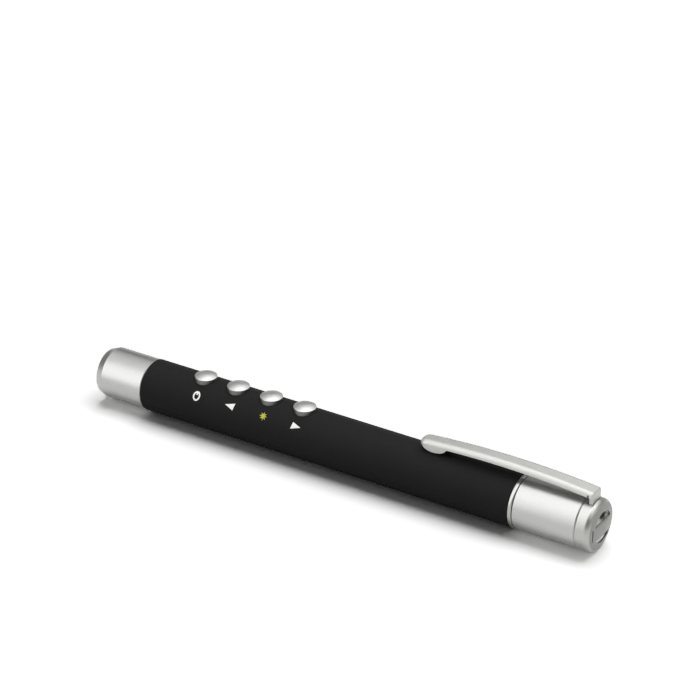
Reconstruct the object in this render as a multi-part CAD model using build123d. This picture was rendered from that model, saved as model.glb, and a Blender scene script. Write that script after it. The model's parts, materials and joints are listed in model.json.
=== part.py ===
from build123d import *
import math
import os

# A pen-style wireless presentation clicker: a black tube with a silver nose that holds the laser,
# four push buttons, and a silver tail that unscrews to change the cell and carries the pocket clip.
#
# Frame: X runs along the pen, nose at -X and tail at +X. +Z is up through the buttons and the clip.
# The origin is under the middle of the pen, on the surface that the tube lies on.
# Inside the functions, heights are measured from the pen's own axis; the last step lifts everything.
# All sizes are in millimetres.

# ---------------------------------------------------------------- driving sizes: the outside

barrel_wall = 1.0
barrel_edge = 0.15

nose_length = 15.8
nose_step = 0.08
nose_bevel_length = 2.2
nose_bevel_drop = 0.82
nose_edge = 0.25
nose_wall = 2.0
nose_spigot_length = 8.0

collar_width = 1.1
collar_spigot_length = 6.0
collar_edge = 0.2

sleeve_length = 18.5
sleeve_edge = 0.25

cap_step = 0.1
cap_length = 2.65
cap_shoulder_length = 1.5
cap_shoulder_radius = 1.8
cap_dome = 0.9
cap_spigot_length = 5.0
cap_edge = 0.2

# ---------------------------------------------------------------- driving sizes: the laser

window_radius = 3.4
window_thickness = 0.6
window_ring_thickness = 0.5
window_ring_hole_radius = 2.2
window_recess = 0.1
aperture_radius = 1.6

laser_barrel_radius = 4.0
laser_barrel_length = 14.0
laser_barrel_wall = 1.0
laser_holder_wall = 0.65
lens_thickness = 1.6
lens_bulge = 0.5
lens_crown_radius = 1.6
lens_ring_thickness = 1.2
lens_ring_hole_radius = 1.8
diode_base_radius = 2.8
diode_base_thickness = 1.2
diode_can_radius = 1.75
diode_can_length = 2.2
diode_shoulder = 0.8
diode_pin_radius = 0.225
diode_pin_length = 1.4
diode_pin_circle = 1.27
driver_board_width = 4.6
driver_rear_room = 0.4
driver_board_thickness = 0.8
driver_board_inset = 0.6
driver_chip_size = 2.0
driver_chip_height = 0.8
lead_radius = 0.35
lead_spacing = 1.8
lead_overlap = 1.4

# ---------------------------------------------------------------- driving sizes: the buttons

button_radius = 3.2
button_pitch = 10.95
first_button_offset = 17.9
button_stand = 0.77
button_dome = 0.6
button_edge = 0.12
button_travel = 0.4

switch_width = 6.0
switch_height = 3.5
switch_cover_thickness = 1.4
switch_chamfer = 0.35
plunger_radius = 1.75
plunger_height = 2.6
plunger_foot = 0.35
plunger_foot_thickness = 0.3
dome_radius = 2.0
dome_rise = 0.25
dome_thickness = 0.1

# ---------------------------------------------------------------- driving sizes: board and tray

board_length = 68.3
board_top = 0.4
board_side_room = 1.2
board_thickness = 1.0
board_end_gap = 0.8
tray_wall = 0.9
tray_rim = 0.6
tray_ledge = 0.8
tray_end_wall = 1.0
screw_radius = 0.65
screw_length = 3.6
screw_head_radius = 1.25
screw_head_height = 0.9
screw_slot_width = 0.3
screw_offset = 3.4
boss_radius = 1.6
front_screw_inset = 3.2
rear_screw_inset = 2.2

radio_size = 4.0
radio_height = 0.9
crystal_length = 3.2
crystal_width = 2.5
crystal_height = 0.8
controller_size = 5.0
controller_height = 1.0
inductor_size = 4.0
inductor_height = 1.8
inductor_corner = 0.5
antenna_length = 6.0
antenna_width = 1.8
antenna_height = 1.0
capacitor_length = 1.6
capacitor_width = 0.8
capacitor_height = 0.7

# ---------------------------------------------------------------- driving sizes: the cell

# The cell is a standard AAA, and the tube is as wide as it, its liner and the tube's wall make it.
cell_radius = 5.25
liner_wall = 1.0
cell_length = 44.5
cell_nub_radius = 1.9
cell_nub_length = 1.2
cell_shoulder = 0.5
cell_cap_inset = 0.85
cell_cap_thickness = 0.3
contact_radius = 3.8
contact_thickness = 0.4
contact_tab_width = 2.0
contact_tab_length = 1.6
carrier_thickness = 2.0
strip_width = 2.0
strip_thickness = 0.3
strip_leg_room = 1.0
strip_foot_length = 2.4

nipple_wall = 0.9
thread_length = 8.0
o_ring_section_radius = 0.45
o_ring_inset = 1.6
o_ring_groove_depth = 0.5

spring_wire_radius = 0.35
spring_outer_radius = 3.6
spring_length = 6.0
spring_turns = 5
seat_inset = 0.65
seat_thickness = 0.4
contact_plate_thickness = 0.5

lens_spring_wire_radius = 0.2
lens_spring_turns = 4

# ---------------------------------------------------------------- driving sizes: clip and lanyard bar

clip_width = 5.3
clip_tip_width = 4.7
clip_thickness = 0.8
clip_side_wall = 0.8
clip_depth = 1.5
clip_edge = 1.2
clip_rear_edge = 0.45
clip_tip_corner = 1.9
clip_length = 52.2
clip_rear_inset = 0.05
clip_tip_height = 3.1
clip_middle_height = 4.3
clip_rear_height = 2.9
clip_lobe_length = 8.6
clip_lobe_tip_height = 3.6
clip_lobe_heel_height = 2.3
clip_lobe_lift = 0.4
clip_end_wall = 0.9
clip_foot_width = 4.4
clip_foot_length = 1.1
clip_foot_depth = 1.8
clip_foot_slit = 0.5
clip_pin_radius = 0.4
clip_pin_reach = 2.75
clip_pin_depth = 1.0

bar_width = 3.6
bar_flank_width = 0.25
bar_flank_depth = 0.5
bar_thickness = 1.5
bar_drop = 0.5
bar_groove_width = 0.35
bar_groove_depth = 0.6
bar_groove_offset = 5.2
pocket_rim = 2.1
pocket_depth = 1.7
tunnel_width = 1.8
tunnel_offset = 2.4
tunnel_depth = 2.4
tunnel_reach = 3.2

# ---------------------------------------------------------------- fits

glued_gap = 0.04
sliding_gap = 0.1
button_gap = 0.1
thread_gap = 0.08
plunger_gap = 0.06
cell_gap = 0.15
rear_bore_gap = 0.45
contact_plate_gap = 0.3
pin_gap = 0.05
seam_gap = 0.1
clip_foot_gap = 0.2
board_gap = 0.1

# ---------------------------------------------------------------- radii that follow from the cell

cell_bore_radius = cell_radius + cell_gap
inner_radius = cell_bore_radius + liner_wall
bore_radius = inner_radius + sliding_gap
barrel_radius = bore_radius + barrel_wall
nose_radius = barrel_radius - nose_step
nose_front_radius = nose_radius - nose_bevel_drop
cap_radius = barrel_radius - cap_step
cap_shoulder_turn = math.asin(cap_shoulder_length / cap_shoulder_radius)
cap_face_radius = cap_radius - cap_shoulder_radius * (1 - math.cos(cap_shoulder_turn))
pocket_radius = cap_face_radius - pocket_rim
thread_radius = cell_bore_radius + nipple_wall
rear_bore_radius = cell_radius + rear_bore_gap
contact_plate_radius = rear_bore_radius - contact_plate_gap
board_width = 2 * (inner_radius - board_side_room)

# ---------------------------------------------------------------- places along the pen

# The tube and the tail behind it are as long as what they hold: board, carrier, cell and spring.
board_room = board_end_gap + board_length + board_end_gap
carrier_room = strip_leg_room + carrier_thickness + contact_thickness
spring_room = seat_thickness + spring_length + contact_plate_thickness
inside_length = board_room + carrier_room + cell_length + spring_room
cap_seam_to_nose_seam = nose_spigot_length + sliding_gap + inside_length + cap_spigot_length
barrel_length = cap_seam_to_nose_seam - collar_width - sleeve_length

overall_length = nose_length + cap_seam_to_nose_seam + cap_length + cap_shoulder_length + cap_dome
nose_front_x = -overall_length / 2
nose_seam_x = nose_front_x + nose_length
tail_seam_x = nose_seam_x + barrel_length
sleeve_front_x = tail_seam_x + collar_width
cap_seam_x = sleeve_front_x + sleeve_length
cap_rim_x = cap_seam_x + cap_length
cap_face_x = cap_rim_x + cap_shoulder_length
tail_face_x = cap_face_x + cap_dome

contact_plate_x = cap_seam_x - cap_spigot_length - contact_plate_thickness
cell_rear_x = contact_plate_x - spring_length - seat_thickness
cell_front_x = cell_rear_x - cell_length
carrier_rear_x = cell_front_x - contact_thickness
carrier_front_x = carrier_rear_x - carrier_thickness
tray_rear_x = carrier_front_x - strip_leg_room
tray_front_x = nose_seam_x + nose_spigot_length + sliding_gap
board_front_x = tray_front_x + board_end_gap
board_rear_x = tray_rear_x - board_end_gap
board_bottom = board_top - board_thickness

button_names = ["blank_screen", "back", "laser", "forward"]
button_xs = [nose_seam_x + first_button_offset + i * button_pitch for i in range(len(button_names))]
switch_top = board_top + switch_height


# ---------------------------------------------------------------- small builders

def x_plane(x):
    """A plane across the pen at x, with its normal along +X and its own Y up."""
    return Plane(origin=(x, 0, 0), x_dir=(0, 1, 0), z_dir=(1, 0, 0))


def x_rod(radius, x_start, x_end):
    """A round bar along the pen's axis."""
    bar = Cylinder(radius, x_end - x_start, align=(Align.CENTER, Align.CENTER, Align.MIN))
    return x_plane(x_start) * bar


def x_ring(outer_radius, inner_radius, x_start, x_end):
    """A plain ring or tube round the pen's axis."""
    return x_rod(outer_radius, x_start, x_end) - x_rod(inner_radius, x_start, x_end)


def turned(*points):
    """A solid turned about the pen's axis from (x, radius) points, in order round the profile."""
    outline = Polyline(*[(x, 0, radius) for x, radius in points], close=True)
    return revolve(make_face(outline), axis=Axis.X)


def block(x_start, x_end, width, z_start, z_end, y_middle=0):
    """A box between two x and two z values, of a given width across the pen."""
    box = Box(x_end - x_start, width, z_end - z_start, align=(Align.MIN, Align.CENTER, Align.MIN))
    return Pos(x_start, y_middle, z_start) * box


def post(radius, x, y, z_start, z_end):
    """A round post that stands along Z."""
    bar = Cylinder(radius, z_end - z_start, align=(Align.CENTER, Align.CENTER, Align.MIN))
    return Pos(x, y, z_start) * bar


def crown(edge_radius, rise):
    """A shallow round cap, as cut from a ball: flat side down at the origin, top along +Z."""
    ball_radius = (edge_radius**2 + rise**2) / (2 * rise)
    ball = Pos(0, 0, rise - ball_radius) * Sphere(ball_radius)
    return ball & Cylinder(edge_radius, rise, align=(Align.CENTER, Align.CENTER, Align.MIN))


def coil(wire_radius, outer_radius, x_start, x_end, turns):
    """An open compression spring between two x values."""
    helix_radius = outer_radius - wire_radius
    height = x_end - x_start - 2 * wire_radius
    path = Helix(pitch=height / turns, height=height, radius=helix_radius)
    section = Plane(origin=path @ 0, z_dir=path % 0) * Circle(wire_radius)
    spring = sweep(section, path=path, is_frenet=True)
    return x_plane(x_start + wire_radius) * spring


# ---------------------------------------------------------------- tube and nose

def make_barrel():
    """The black tube, with a round hole in its top for each button."""
    tube = turned(
        (nose_seam_x, bore_radius),
        (nose_seam_x, barrel_radius - barrel_edge),
        (nose_seam_x + barrel_edge, barrel_radius),
        (tail_seam_x - barrel_edge, barrel_radius),
        (tail_seam_x, barrel_radius - barrel_edge),
        (tail_seam_x, bore_radius),
    )
    for x in button_xs:
        tube -= post(button_radius + button_gap, x, 0, 0, barrel_radius + 1)
    return tube


window_seat_x = nose_front_x + window_recess + window_ring_thickness + window_thickness
window_seat_radius = window_radius + glued_gap
nose_bore_radius = laser_barrel_radius + laser_holder_wall + 2 * glued_gap
nose_bore_x = nose_front_x + nose_wall
nose_spigot_end_x = nose_seam_x + nose_spigot_length


def make_nose_cap():
    """The silver nose: bevelled front, window seat, bore for the laser, spigot into the tube."""
    return turned(
        (nose_front_x, window_seat_radius),
        (nose_front_x, nose_front_radius),
        (nose_front_x + nose_bevel_length, nose_radius),
        (nose_seam_x - nose_edge, nose_radius),
        (nose_seam_x, nose_radius - nose_edge),
        (nose_seam_x, bore_radius - glued_gap),
        (nose_spigot_end_x, bore_radius - glued_gap),
        (nose_spigot_end_x, nose_bore_radius),
        (nose_bore_x, nose_bore_radius),
        (nose_bore_x, aperture_radius),
        (window_seat_x, aperture_radius),
        (window_seat_x, window_seat_radius),
    )


def make_window_ring():
    """The thin dark ring that holds the window in the nose."""
    ring_x = nose_front_x + window_recess
    return x_ring(window_radius, window_ring_hole_radius, ring_x, ring_x + window_ring_thickness)


def make_laser_window():
    """The clear disc that the beam leaves through."""
    return x_rod(window_radius, window_seat_x - window_thickness, window_seat_x)


# ---------------------------------------------------------------- laser module

laser_front_x = nose_bore_x
laser_rear_x = laser_front_x + laser_barrel_length
laser_bore_radius = laser_barrel_radius - laser_barrel_wall
lens_ring_rear_x = laser_front_x + lens_ring_thickness
lens_rear_x = lens_ring_rear_x + lens_thickness
diode_rear_x = laser_rear_x - driver_board_inset - diode_pin_length
diode_seat_x = diode_rear_x - diode_base_thickness
shoulder_front_x = diode_seat_x - diode_shoulder
driver_front_x = diode_rear_x + diode_pin_length
driver_rear_x = nose_spigot_end_x - driver_rear_room


def make_laser_holder():
    """The plastic sleeve that centres the laser in the nose and insulates it."""
    outer = laser_barrel_radius + laser_holder_wall + glued_gap
    return x_ring(outer, laser_barrel_radius + glued_gap, laser_front_x, laser_rear_x)


def make_laser_barrel():
    """The brass body of the laser: lens bore in front, shoulder, then the diode's seat."""
    diode_bore = diode_base_radius + glued_gap
    return turned(
        (laser_front_x, laser_bore_radius),
        (laser_front_x, laser_barrel_radius),
        (laser_rear_x, laser_barrel_radius),
        (laser_rear_x, diode_bore),
        (diode_seat_x, diode_bore),
        (diode_seat_x, diode_can_radius + glued_gap),
        (shoulder_front_x, diode_can_radius + glued_gap),
        (shoulder_front_x, laser_bore_radius),
    )


def make_lens_ring():
    """The threaded ring in the laser's mouth that sets the focus."""
    ring_radius = laser_bore_radius - glued_gap
    return x_ring(ring_radius, lens_ring_hole_radius, laser_front_x, lens_ring_rear_x)


def make_collimating_lens():
    """The moulded lens: a flat disc with a bulged front, its rim against the lens ring."""
    bulge = Plane(origin=(lens_ring_rear_x, 0, 0), z_dir=(-1, 0, 0)) * crown(lens_crown_radius, lens_bulge)
    return x_rod(laser_bore_radius - glued_gap, lens_ring_rear_x, lens_rear_x) + bulge


def make_lens_spring():
    """The small spring that pushes the lens against its ring."""
    outer = laser_bore_radius - 2 * sliding_gap
    return coil(lens_spring_wire_radius, outer, lens_rear_x, shoulder_front_x, lens_spring_turns)


def make_laser_diode():
    """The diode: a can in front of a wider base, with three pins behind."""
    base = x_rod(diode_base_radius, diode_seat_x, diode_rear_x)
    can = x_rod(diode_can_radius, diode_seat_x - diode_can_length, diode_seat_x)
    diode = base + can
    for y, z in ((-diode_pin_circle, 0), (diode_pin_circle, 0), (0, diode_pin_circle)):
        diode += Pos(0, y, z) * x_rod(diode_pin_radius, diode_rear_x, driver_front_x)
    return diode


def make_laser_driver_board():
    """The little board soldered to the diode's pins, level with the main board, with its chip."""
    board_under = board_top - driver_board_thickness
    chip_x = (driver_front_x + driver_rear_x - driver_chip_size) / 2
    chip_top = board_top + driver_chip_height
    board = block(driver_front_x, driver_rear_x, driver_board_width, board_under, board_top)
    return board + block(chip_x, chip_x + driver_chip_size, driver_chip_size, board_top, chip_top)


def make_laser_lead(side):
    """One insulated lead that lies across the gap from the driver board to the main board."""
    lead = x_rod(lead_radius, driver_rear_x - lead_overlap, board_front_x + lead_overlap)
    return Pos(0, side * lead_spacing / 2, board_top + lead_radius) * lead


# ---------------------------------------------------------------- tray and main board

middle_screw_x = (button_xs[-2] + button_xs[-1]) / 2
screw_places = [
    (board_front_x + front_screw_inset, -screw_offset),
    (middle_screw_x, screw_offset),
    (board_rear_x - rear_screw_inset, -screw_offset),
]


def make_chassis_tray():
    """The moulded trough that fills the lower half of the tube and carries the board on ledges."""
    rim = board_top + tray_rim
    tray = x_rod(inner_radius, tray_front_x, tray_rear_x)
    tray -= block(tray_front_x, tray_rear_x, 2 * barrel_radius, rim, barrel_radius)
    tray -= block(tray_front_x, tray_rear_x, board_width + 2 * board_gap, board_bottom, rim)
    trough_width = board_width - 2 * tray_ledge
    hollow = x_rod(inner_radius - tray_wall, tray_front_x + tray_end_wall, tray_rear_x)
    trough = hollow & block(tray_front_x, tray_rear_x, trough_width, -barrel_radius, board_bottom)
    tray -= trough
    for x, y in screw_places:
        boss = post(boss_radius, x, y, -inner_radius, board_bottom)
        tray += boss & x_rod(inner_radius - tray_wall / 2, tray_front_x, tray_rear_x)
    for x, y in screw_places:
        tray -= post(screw_radius + glued_gap, x, y, board_top - screw_length - glued_gap, board_bottom)
    return tray


def make_main_board():
    """The circuit board, drilled for its screws."""
    board = block(board_front_x, board_rear_x, board_width, board_bottom, board_top)
    for x, y in screw_places:
        board -= post(screw_radius + board_gap, x, y, board_bottom, board_top)
    return board


def make_board_screws():
    """Three small slotted screws that hold the board down on the tray."""
    screws = []
    for x, y in screw_places:
        head_top = board_top + screw_head_height
        screw = post(screw_radius, x, y, board_top - screw_length, board_top)
        screw += post(screw_head_radius, x, y, board_top, head_top)
        slot_floor = head_top - screw_head_height / 2
        across = 2 * screw_head_radius
        screw -= block(x - screw_slot_width / 2, x + screw_slot_width / 2, across, slot_floor, head_top, y)
        screws.append(screw)
    return screws


# Parts on the board, spaced evenly from the last switch back to the contact's tab.
last_switch_rear_x = button_xs[-1] + switch_width / 2
tab_front_x = board_rear_x - contact_tab_length
chip_lengths = radio_size + controller_size + inductor_size
chip_gap = (tab_front_x - last_switch_rear_x - chip_lengths) / 4
radio_x = last_switch_rear_x + chip_gap
controller_x = radio_x + radio_size + chip_gap
inductor_x = controller_x + controller_size + chip_gap


def make_radio_chip():
    """The 2.4 GHz radio."""
    return block(radio_x, radio_x + radio_size, radio_size, board_top, board_top + radio_height)


def make_controller_chip():
    """The microcontroller that reads the switches."""
    controller_top = board_top + controller_height
    return block(controller_x, controller_x + controller_size, controller_size, board_top, controller_top)


def make_boost_inductor():
    """The coil of the converter that steps the single cell up."""
    rear_x = inductor_x + inductor_size
    inductor = block(inductor_x, rear_x, inductor_size, board_top, board_top + inductor_height)
    return chamfer(inductor.edges().filter_by(Axis.Z), inductor_corner)


def make_crystal_can():
    """The radio's crystal, in the gap between the second and third switch."""
    x = (button_xs[1] + button_xs[2]) / 2
    top = board_top + crystal_height
    return block(x - crystal_width / 2, x + crystal_width / 2, crystal_length, board_top, top)


def make_chip_antenna():
    """The ceramic antenna, between the first two switches, away from the metal ends and the cell."""
    x = (button_xs[0] + button_xs[1]) / 2
    top = board_top + antenna_height
    return block(x - antenna_width / 2, x + antenna_width / 2, antenna_length, board_top, top)


def make_board_capacitors():
    """Small capacitors along both edges of the board beside the radio and the controller."""
    edge_y = (board_width - capacitor_length) / 2 - board_gap
    top = board_top + capacitor_height
    middles = [
        (radio_x + radio_size / 2, -edge_y),
        (radio_x + radio_size / 2, edge_y),
        (controller_x + controller_size / 2, -edge_y),
        (controller_x + controller_size / 2, edge_y),
        (inductor_x + inductor_size / 2, edge_y),
    ]
    half = capacitor_width / 2
    return [block(x - half, x + half, capacitor_length, board_top, top, y) for x, y in middles]


# ---------------------------------------------------------------- switches and buttons

cavity_top = switch_top - switch_cover_thickness
plunger_foot_under = cavity_top - plunger_gap - plunger_foot_thickness
cavity_floor = plunger_foot_under - button_travel - plunger_gap - dome_rise
plunger_top = switch_top + plunger_height
rim_height = barrel_radius + button_stand


def make_switch_housing(x):
    """A tact switch without its moving part: base, cover and the round hole in the cover."""
    half = switch_width / 2
    housing = block(x - half, x + half, switch_width, board_top, switch_top)
    housing = chamfer(housing.edges().filter_by(Axis.Z), switch_chamfer)
    housing -= post(dome_radius + switch_chamfer, x, 0, cavity_floor, cavity_top)
    return housing - post(plunger_radius + plunger_gap, x, 0, cavity_top, switch_top)


def make_switch_domes():
    """The sprung metal disc in each switch: a shallow cone that snaps when it is pressed."""
    domes = []
    for x in button_xs:
        dome = Pos(x, 0, cavity_floor) * crown(dome_radius, dome_rise)
        domes.append(dome - Pos(0, 0, -dome_thickness) * dome)
    return domes


def make_plunger(x):
    """The switch's pin: a foot that stays under the cover and a stem that the button sits on."""
    foot_top = plunger_foot_under + plunger_foot_thickness
    foot = post(plunger_radius + plunger_foot, x, 0, plunger_foot_under, foot_top)
    return foot + post(plunger_radius, x, 0, foot_top, plunger_top)


def make_button(x):
    """A silver button: round skirt through the tube's hole, domed top, socket for the plunger."""
    skirt_bottom = switch_top + button_travel + plunger_gap
    skirt = post(button_radius, x, 0, skirt_bottom, rim_height)
    skirt = chamfer(skirt.edges().sort_by(Axis.Z)[-1], button_edge)
    cap = skirt + Pos(x, 0, rim_height) * crown(button_radius - button_edge, button_dome)
    return cap - post(plunger_radius + glued_gap, x, 0, skirt_bottom, plunger_top)


# ---------------------------------------------------------------- the cell and its contacts

strip_low = -(math.sqrt(bore_radius**2 - (strip_width / 2) ** 2) - sliding_gap)
strip_high = strip_low + strip_thickness
collar_front_x = tail_seam_x - collar_spigot_length
cell_can_x = cell_front_x + cell_nub_length


def make_battery_cell():
    """The AAA cell's can, rounded off at its front shoulder."""
    return turned(
        (cell_can_x, 0),
        (cell_can_x, cell_radius - cell_shoulder),
        (cell_can_x + cell_shoulder, cell_radius),
        (cell_rear_x, cell_radius),
        (cell_rear_x, 0),
    )


def make_battery_positive_cap():
    """The cell's positive end: a thin plate with its nub."""
    plate_x = cell_can_x - cell_cap_thickness
    plate = x_rod(cell_radius - cell_cap_inset, plate_x, cell_can_x)
    return plate + x_rod(cell_nub_radius, cell_front_x, plate_x)


def make_front_contact():
    """The positive contact: a plate behind the carrier with a tab soldered to the board."""
    plate = x_rod(contact_radius, carrier_rear_x, cell_front_x)
    tab_top = board_top + contact_thickness
    return plate + block(tab_front_x, carrier_rear_x, contact_tab_width, board_top, tab_top)


def make_contact_carrier():
    """The insulating disc between the board and the cell, slotted for the tab and the strip."""
    disc = x_rod(inner_radius, carrier_front_x, carrier_rear_x)
    tab_low = board_top - sliding_gap
    tab_high = board_top + contact_thickness + sliding_gap
    disc -= block(carrier_front_x, carrier_rear_x, contact_tab_width + 2 * sliding_gap, tab_low, tab_high)
    slot_width = strip_width + 2 * sliding_gap
    slot_top = strip_high + sliding_gap
    return disc - block(carrier_front_x, carrier_rear_x, slot_width, -barrel_radius, slot_top)


def make_battery_tube():
    """The plastic liner round the cell, with a groove below for the ground strip."""
    tube = x_ring(inner_radius, cell_bore_radius, carrier_rear_x, collar_front_x - sliding_gap)
    groove_width = strip_width + 2 * sliding_gap
    groove_top = strip_high + sliding_gap
    return tube - block(carrier_rear_x, collar_front_x, groove_width, -barrel_radius, groove_top)


def make_ground_strip():
    """The brass strip from the threaded collar, under the cell, up to the board's underside."""
    leg_x = tray_rear_x + (strip_leg_room - strip_thickness) / 2
    run = block(leg_x, collar_front_x, strip_width, strip_low, strip_high)
    leg = block(leg_x, leg_x + strip_thickness, strip_width, strip_low, board_bottom)
    foot_x = board_rear_x - strip_foot_length
    foot = block(foot_x, leg_x + strip_thickness, strip_width, board_bottom - strip_thickness, board_bottom)
    return run + leg + foot


# ---------------------------------------------------------------- collar and tail

groove_middle_x = sleeve_front_x + o_ring_inset
groove_half_width = o_ring_section_radius + sliding_gap
groove_floor_radius = thread_radius - o_ring_groove_depth
o_ring_middle_radius = groove_floor_radius + o_ring_section_radius + pin_gap
o_ring_outer_radius = o_ring_middle_radius + o_ring_section_radius
thread_end_x = sleeve_front_x + thread_length
cap_front_x = cap_seam_x - cap_spigot_length


def make_threaded_collar():
    """The bright ring between tube and tail: spigot into the tube, threaded nipple for the sleeve."""
    return turned(
        (collar_front_x, cell_bore_radius),
        (collar_front_x, bore_radius - glued_gap),
        (tail_seam_x, bore_radius - glued_gap),
        (tail_seam_x, barrel_radius - collar_edge),
        (tail_seam_x + collar_edge, barrel_radius),
        (sleeve_front_x - collar_edge, barrel_radius),
        (sleeve_front_x, barrel_radius - collar_edge),
        (sleeve_front_x, thread_radius),
        (groove_middle_x - groove_half_width, thread_radius),
        (groove_middle_x - groove_half_width, groove_floor_radius),
        (groove_middle_x + groove_half_width, groove_floor_radius),
        (groove_middle_x + groove_half_width, thread_radius),
        (thread_end_x, thread_radius),
        (thread_end_x, cell_bore_radius),
    )


def make_collar_o_ring():
    """The rubber ring in the nipple's groove, which keeps the sleeve from working loose."""
    return x_plane(groove_middle_x) * Torus(o_ring_middle_radius, o_ring_section_radius)


def make_tail_sleeve():
    """The silver tail tube: entry for the o-ring, bore for the thread, then the cap's seat."""
    front_x = sleeve_front_x + seam_gap
    entry_end_x = groove_middle_x + groove_half_width + seam_gap
    bore_end_x = thread_end_x + seam_gap
    thread_bore = thread_radius + thread_gap
    return turned(
        (front_x, o_ring_outer_radius + thread_gap),
        (front_x, barrel_radius - sleeve_edge),
        (front_x + sleeve_edge, barrel_radius),
        (cap_seam_x - sleeve_edge, barrel_radius),
        (cap_seam_x, barrel_radius - sleeve_edge),
        (cap_seam_x, rear_bore_radius),
        (bore_end_x, rear_bore_radius),
        (bore_end_x, thread_bore),
        (entry_end_x, thread_bore),
        (entry_end_x, o_ring_outer_radius + thread_gap),
    )


clip_rear_x = cap_rim_x - clip_rear_inset
clip_tip_x = clip_rear_x - clip_length
foot_front_x = clip_rear_x - clip_foot_length
foot_middle_x = clip_rear_x - clip_foot_length / 2
foot_bottom = cap_radius - clip_foot_depth
pin_height = cap_radius - clip_pin_depth


def cross_rod(radius, x, z, y_start, y_end):
    """A round bar across the pen, along Y."""
    bar = Cylinder(radius, y_end - y_start, align=(Align.CENTER, Align.CENTER, Align.MIN))
    return Plane(origin=(x, y_start, z), x_dir=(1, 0, 0), z_dir=(0, 1, 0)) * bar


def make_lanyard_bar():
    """The block between the two pockets: a flat top with sloping flanks, standing on their floor."""
    half_top = bar_width / 2
    half_base = half_top + bar_flank_width
    flank_x = tail_face_x - bar_flank_depth
    floor_x = cap_face_x - tunnel_depth
    section = make_face(
        Polyline(
            (tail_face_x, 0, half_top),
            (flank_x, 0, half_base),
            (floor_x, 0, half_base),
            (floor_x, 0, -half_base),
            (flank_x, 0, -half_base),
            (tail_face_x, 0, -half_top),
            close=True,
        )
    )
    return Pos(0, 0, -bar_drop) * extrude(section, amount=cap_radius, dir=(0, 1, 0), both=True)


def make_tail_cap():
    """The end cap: rounded shoulder, domed face with a flush lanyard bar, a slot for the clip."""
    spigot_radius = rear_bore_radius - glued_gap
    half_turn = cap_shoulder_turn / 2
    shoulder_middle = (
        cap_rim_x + cap_shoulder_radius * math.sin(half_turn),
        0,
        cap_radius - cap_shoulder_radius * (1 - math.cos(half_turn)),
    )
    outline = [
        Polyline(
            (cap_face_x, 0, cap_face_radius),
            (cap_face_x, 0, 0),
            (cap_front_x, 0, 0),
            (cap_front_x, 0, spigot_radius),
            (cap_seam_x, 0, spigot_radius),
            (cap_seam_x, 0, cap_radius - cap_edge),
            (cap_seam_x + cap_edge, 0, cap_radius),
            (cap_rim_x, 0, cap_radius),
        ),
        ThreePointArc((cap_rim_x, 0, cap_radius), shoulder_middle, (cap_face_x, 0, cap_face_radius)),
    ]
    cap = revolve(make_face(outline), axis=Axis.X)
    cap += x_plane(cap_face_x) * crown(cap_face_radius, cap_dome)
    # A dished hollow with the bar left standing in it makes two pockets.
    bar = make_lanyard_bar()
    dish = Plane(origin=(cap_face_x, 0, 0), z_dir=(-1, 0, 0)) * crown(pocket_radius, pocket_depth)
    cap -= (dish + x_rod(pocket_radius, cap_face_x, tail_face_x)) - bar
    # A deeper slot passes under the bar, so that a lanyard's loop goes round it.
    slot_floor_x = cap_face_x - tunnel_depth
    bar_under_x = tail_face_x - bar_thickness
    low = -bar_drop - tunnel_reach
    high = -bar_drop + tunnel_reach
    slot = block(slot_floor_x, tail_face_x, tunnel_width, low, high, tunnel_offset)
    cap -= slot - (bar & x_rod(cap_radius, bar_under_x, tail_face_x))
    # A fine groove marks the bar's near end.
    groove_x = cap_face_x - bar_groove_depth
    groove_low = -bar_drop - bar_width / 2
    groove_high = -bar_drop + bar_width / 2
    cap -= block(groove_x, tail_face_x, bar_groove_width, groove_low, groove_high, -bar_groove_offset)
    # The clip's slot is longer than its foot in front, where the gap shows as a dark notch.
    slot_front_x = foot_front_x - clip_foot_slit
    slot_rear_x = clip_rear_x + clip_foot_gap
    slot_width = clip_foot_width + 2 * sliding_gap
    cap -= block(slot_front_x, slot_rear_x, slot_width, foot_bottom - sliding_gap, barrel_radius)
    pin_hole_radius = clip_pin_radius + glued_gap / 2
    return cap - cross_rod(pin_hole_radius, foot_middle_x, pin_height, -clip_pin_reach, cap_radius)


def make_clip_pin():
    """The pin through the cap that the clip's foot turns on, pressed in from the far side."""
    far_end = math.sqrt(cap_radius**2 - pin_height**2) - clip_pin_radius
    return cross_rod(clip_pin_radius, foot_middle_x, pin_height, -clip_pin_reach, far_end)


def make_contact_plate():
    """The metal disc in the tail that the cell's spring turns against."""
    return x_rod(contact_plate_radius, contact_plate_x, cap_front_x)


def make_tail_spring():
    """The spring that presses on the cell's flat end."""
    spring_front_x = cell_rear_x + seat_thickness
    spring_rear_x = contact_plate_x - pin_gap
    return coil(spring_wire_radius, spring_outer_radius, spring_front_x, spring_rear_x, spring_turns)


def make_spring_seat():
    """The washer between the spring and the cell, which stays still while the tail is turned."""
    return x_rod(cell_radius - seat_inset, cell_rear_x, cell_rear_x + seat_thickness)


# ---------------------------------------------------------------- pocket clip

def clip_side(depth):
    """The clip's side view: a gentle arch, cut off to a given depth under its top line."""
    middle_x = (clip_tip_x + clip_rear_x) / 2
    tip_top = barrel_radius + clip_tip_height
    middle_top = barrel_radius + clip_middle_height
    rear_top = barrel_radius + clip_rear_height
    outline = [
        ThreePointArc((clip_tip_x, 0, tip_top), (middle_x, 0, middle_top), (clip_rear_x, 0, rear_top)),
        Line((clip_rear_x, 0, rear_top), (clip_rear_x, 0, rear_top - depth)),
        ThreePointArc(
            (clip_rear_x, 0, rear_top - depth),
            (middle_x, 0, middle_top - depth),
            (clip_tip_x, 0, tip_top - depth),
        ),
        Line((clip_tip_x, 0, tip_top - depth), (clip_tip_x, 0, tip_top)),
    ]
    return extrude(make_face(outline), amount=clip_width, dir=(0, 1, 0), both=True)


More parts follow.
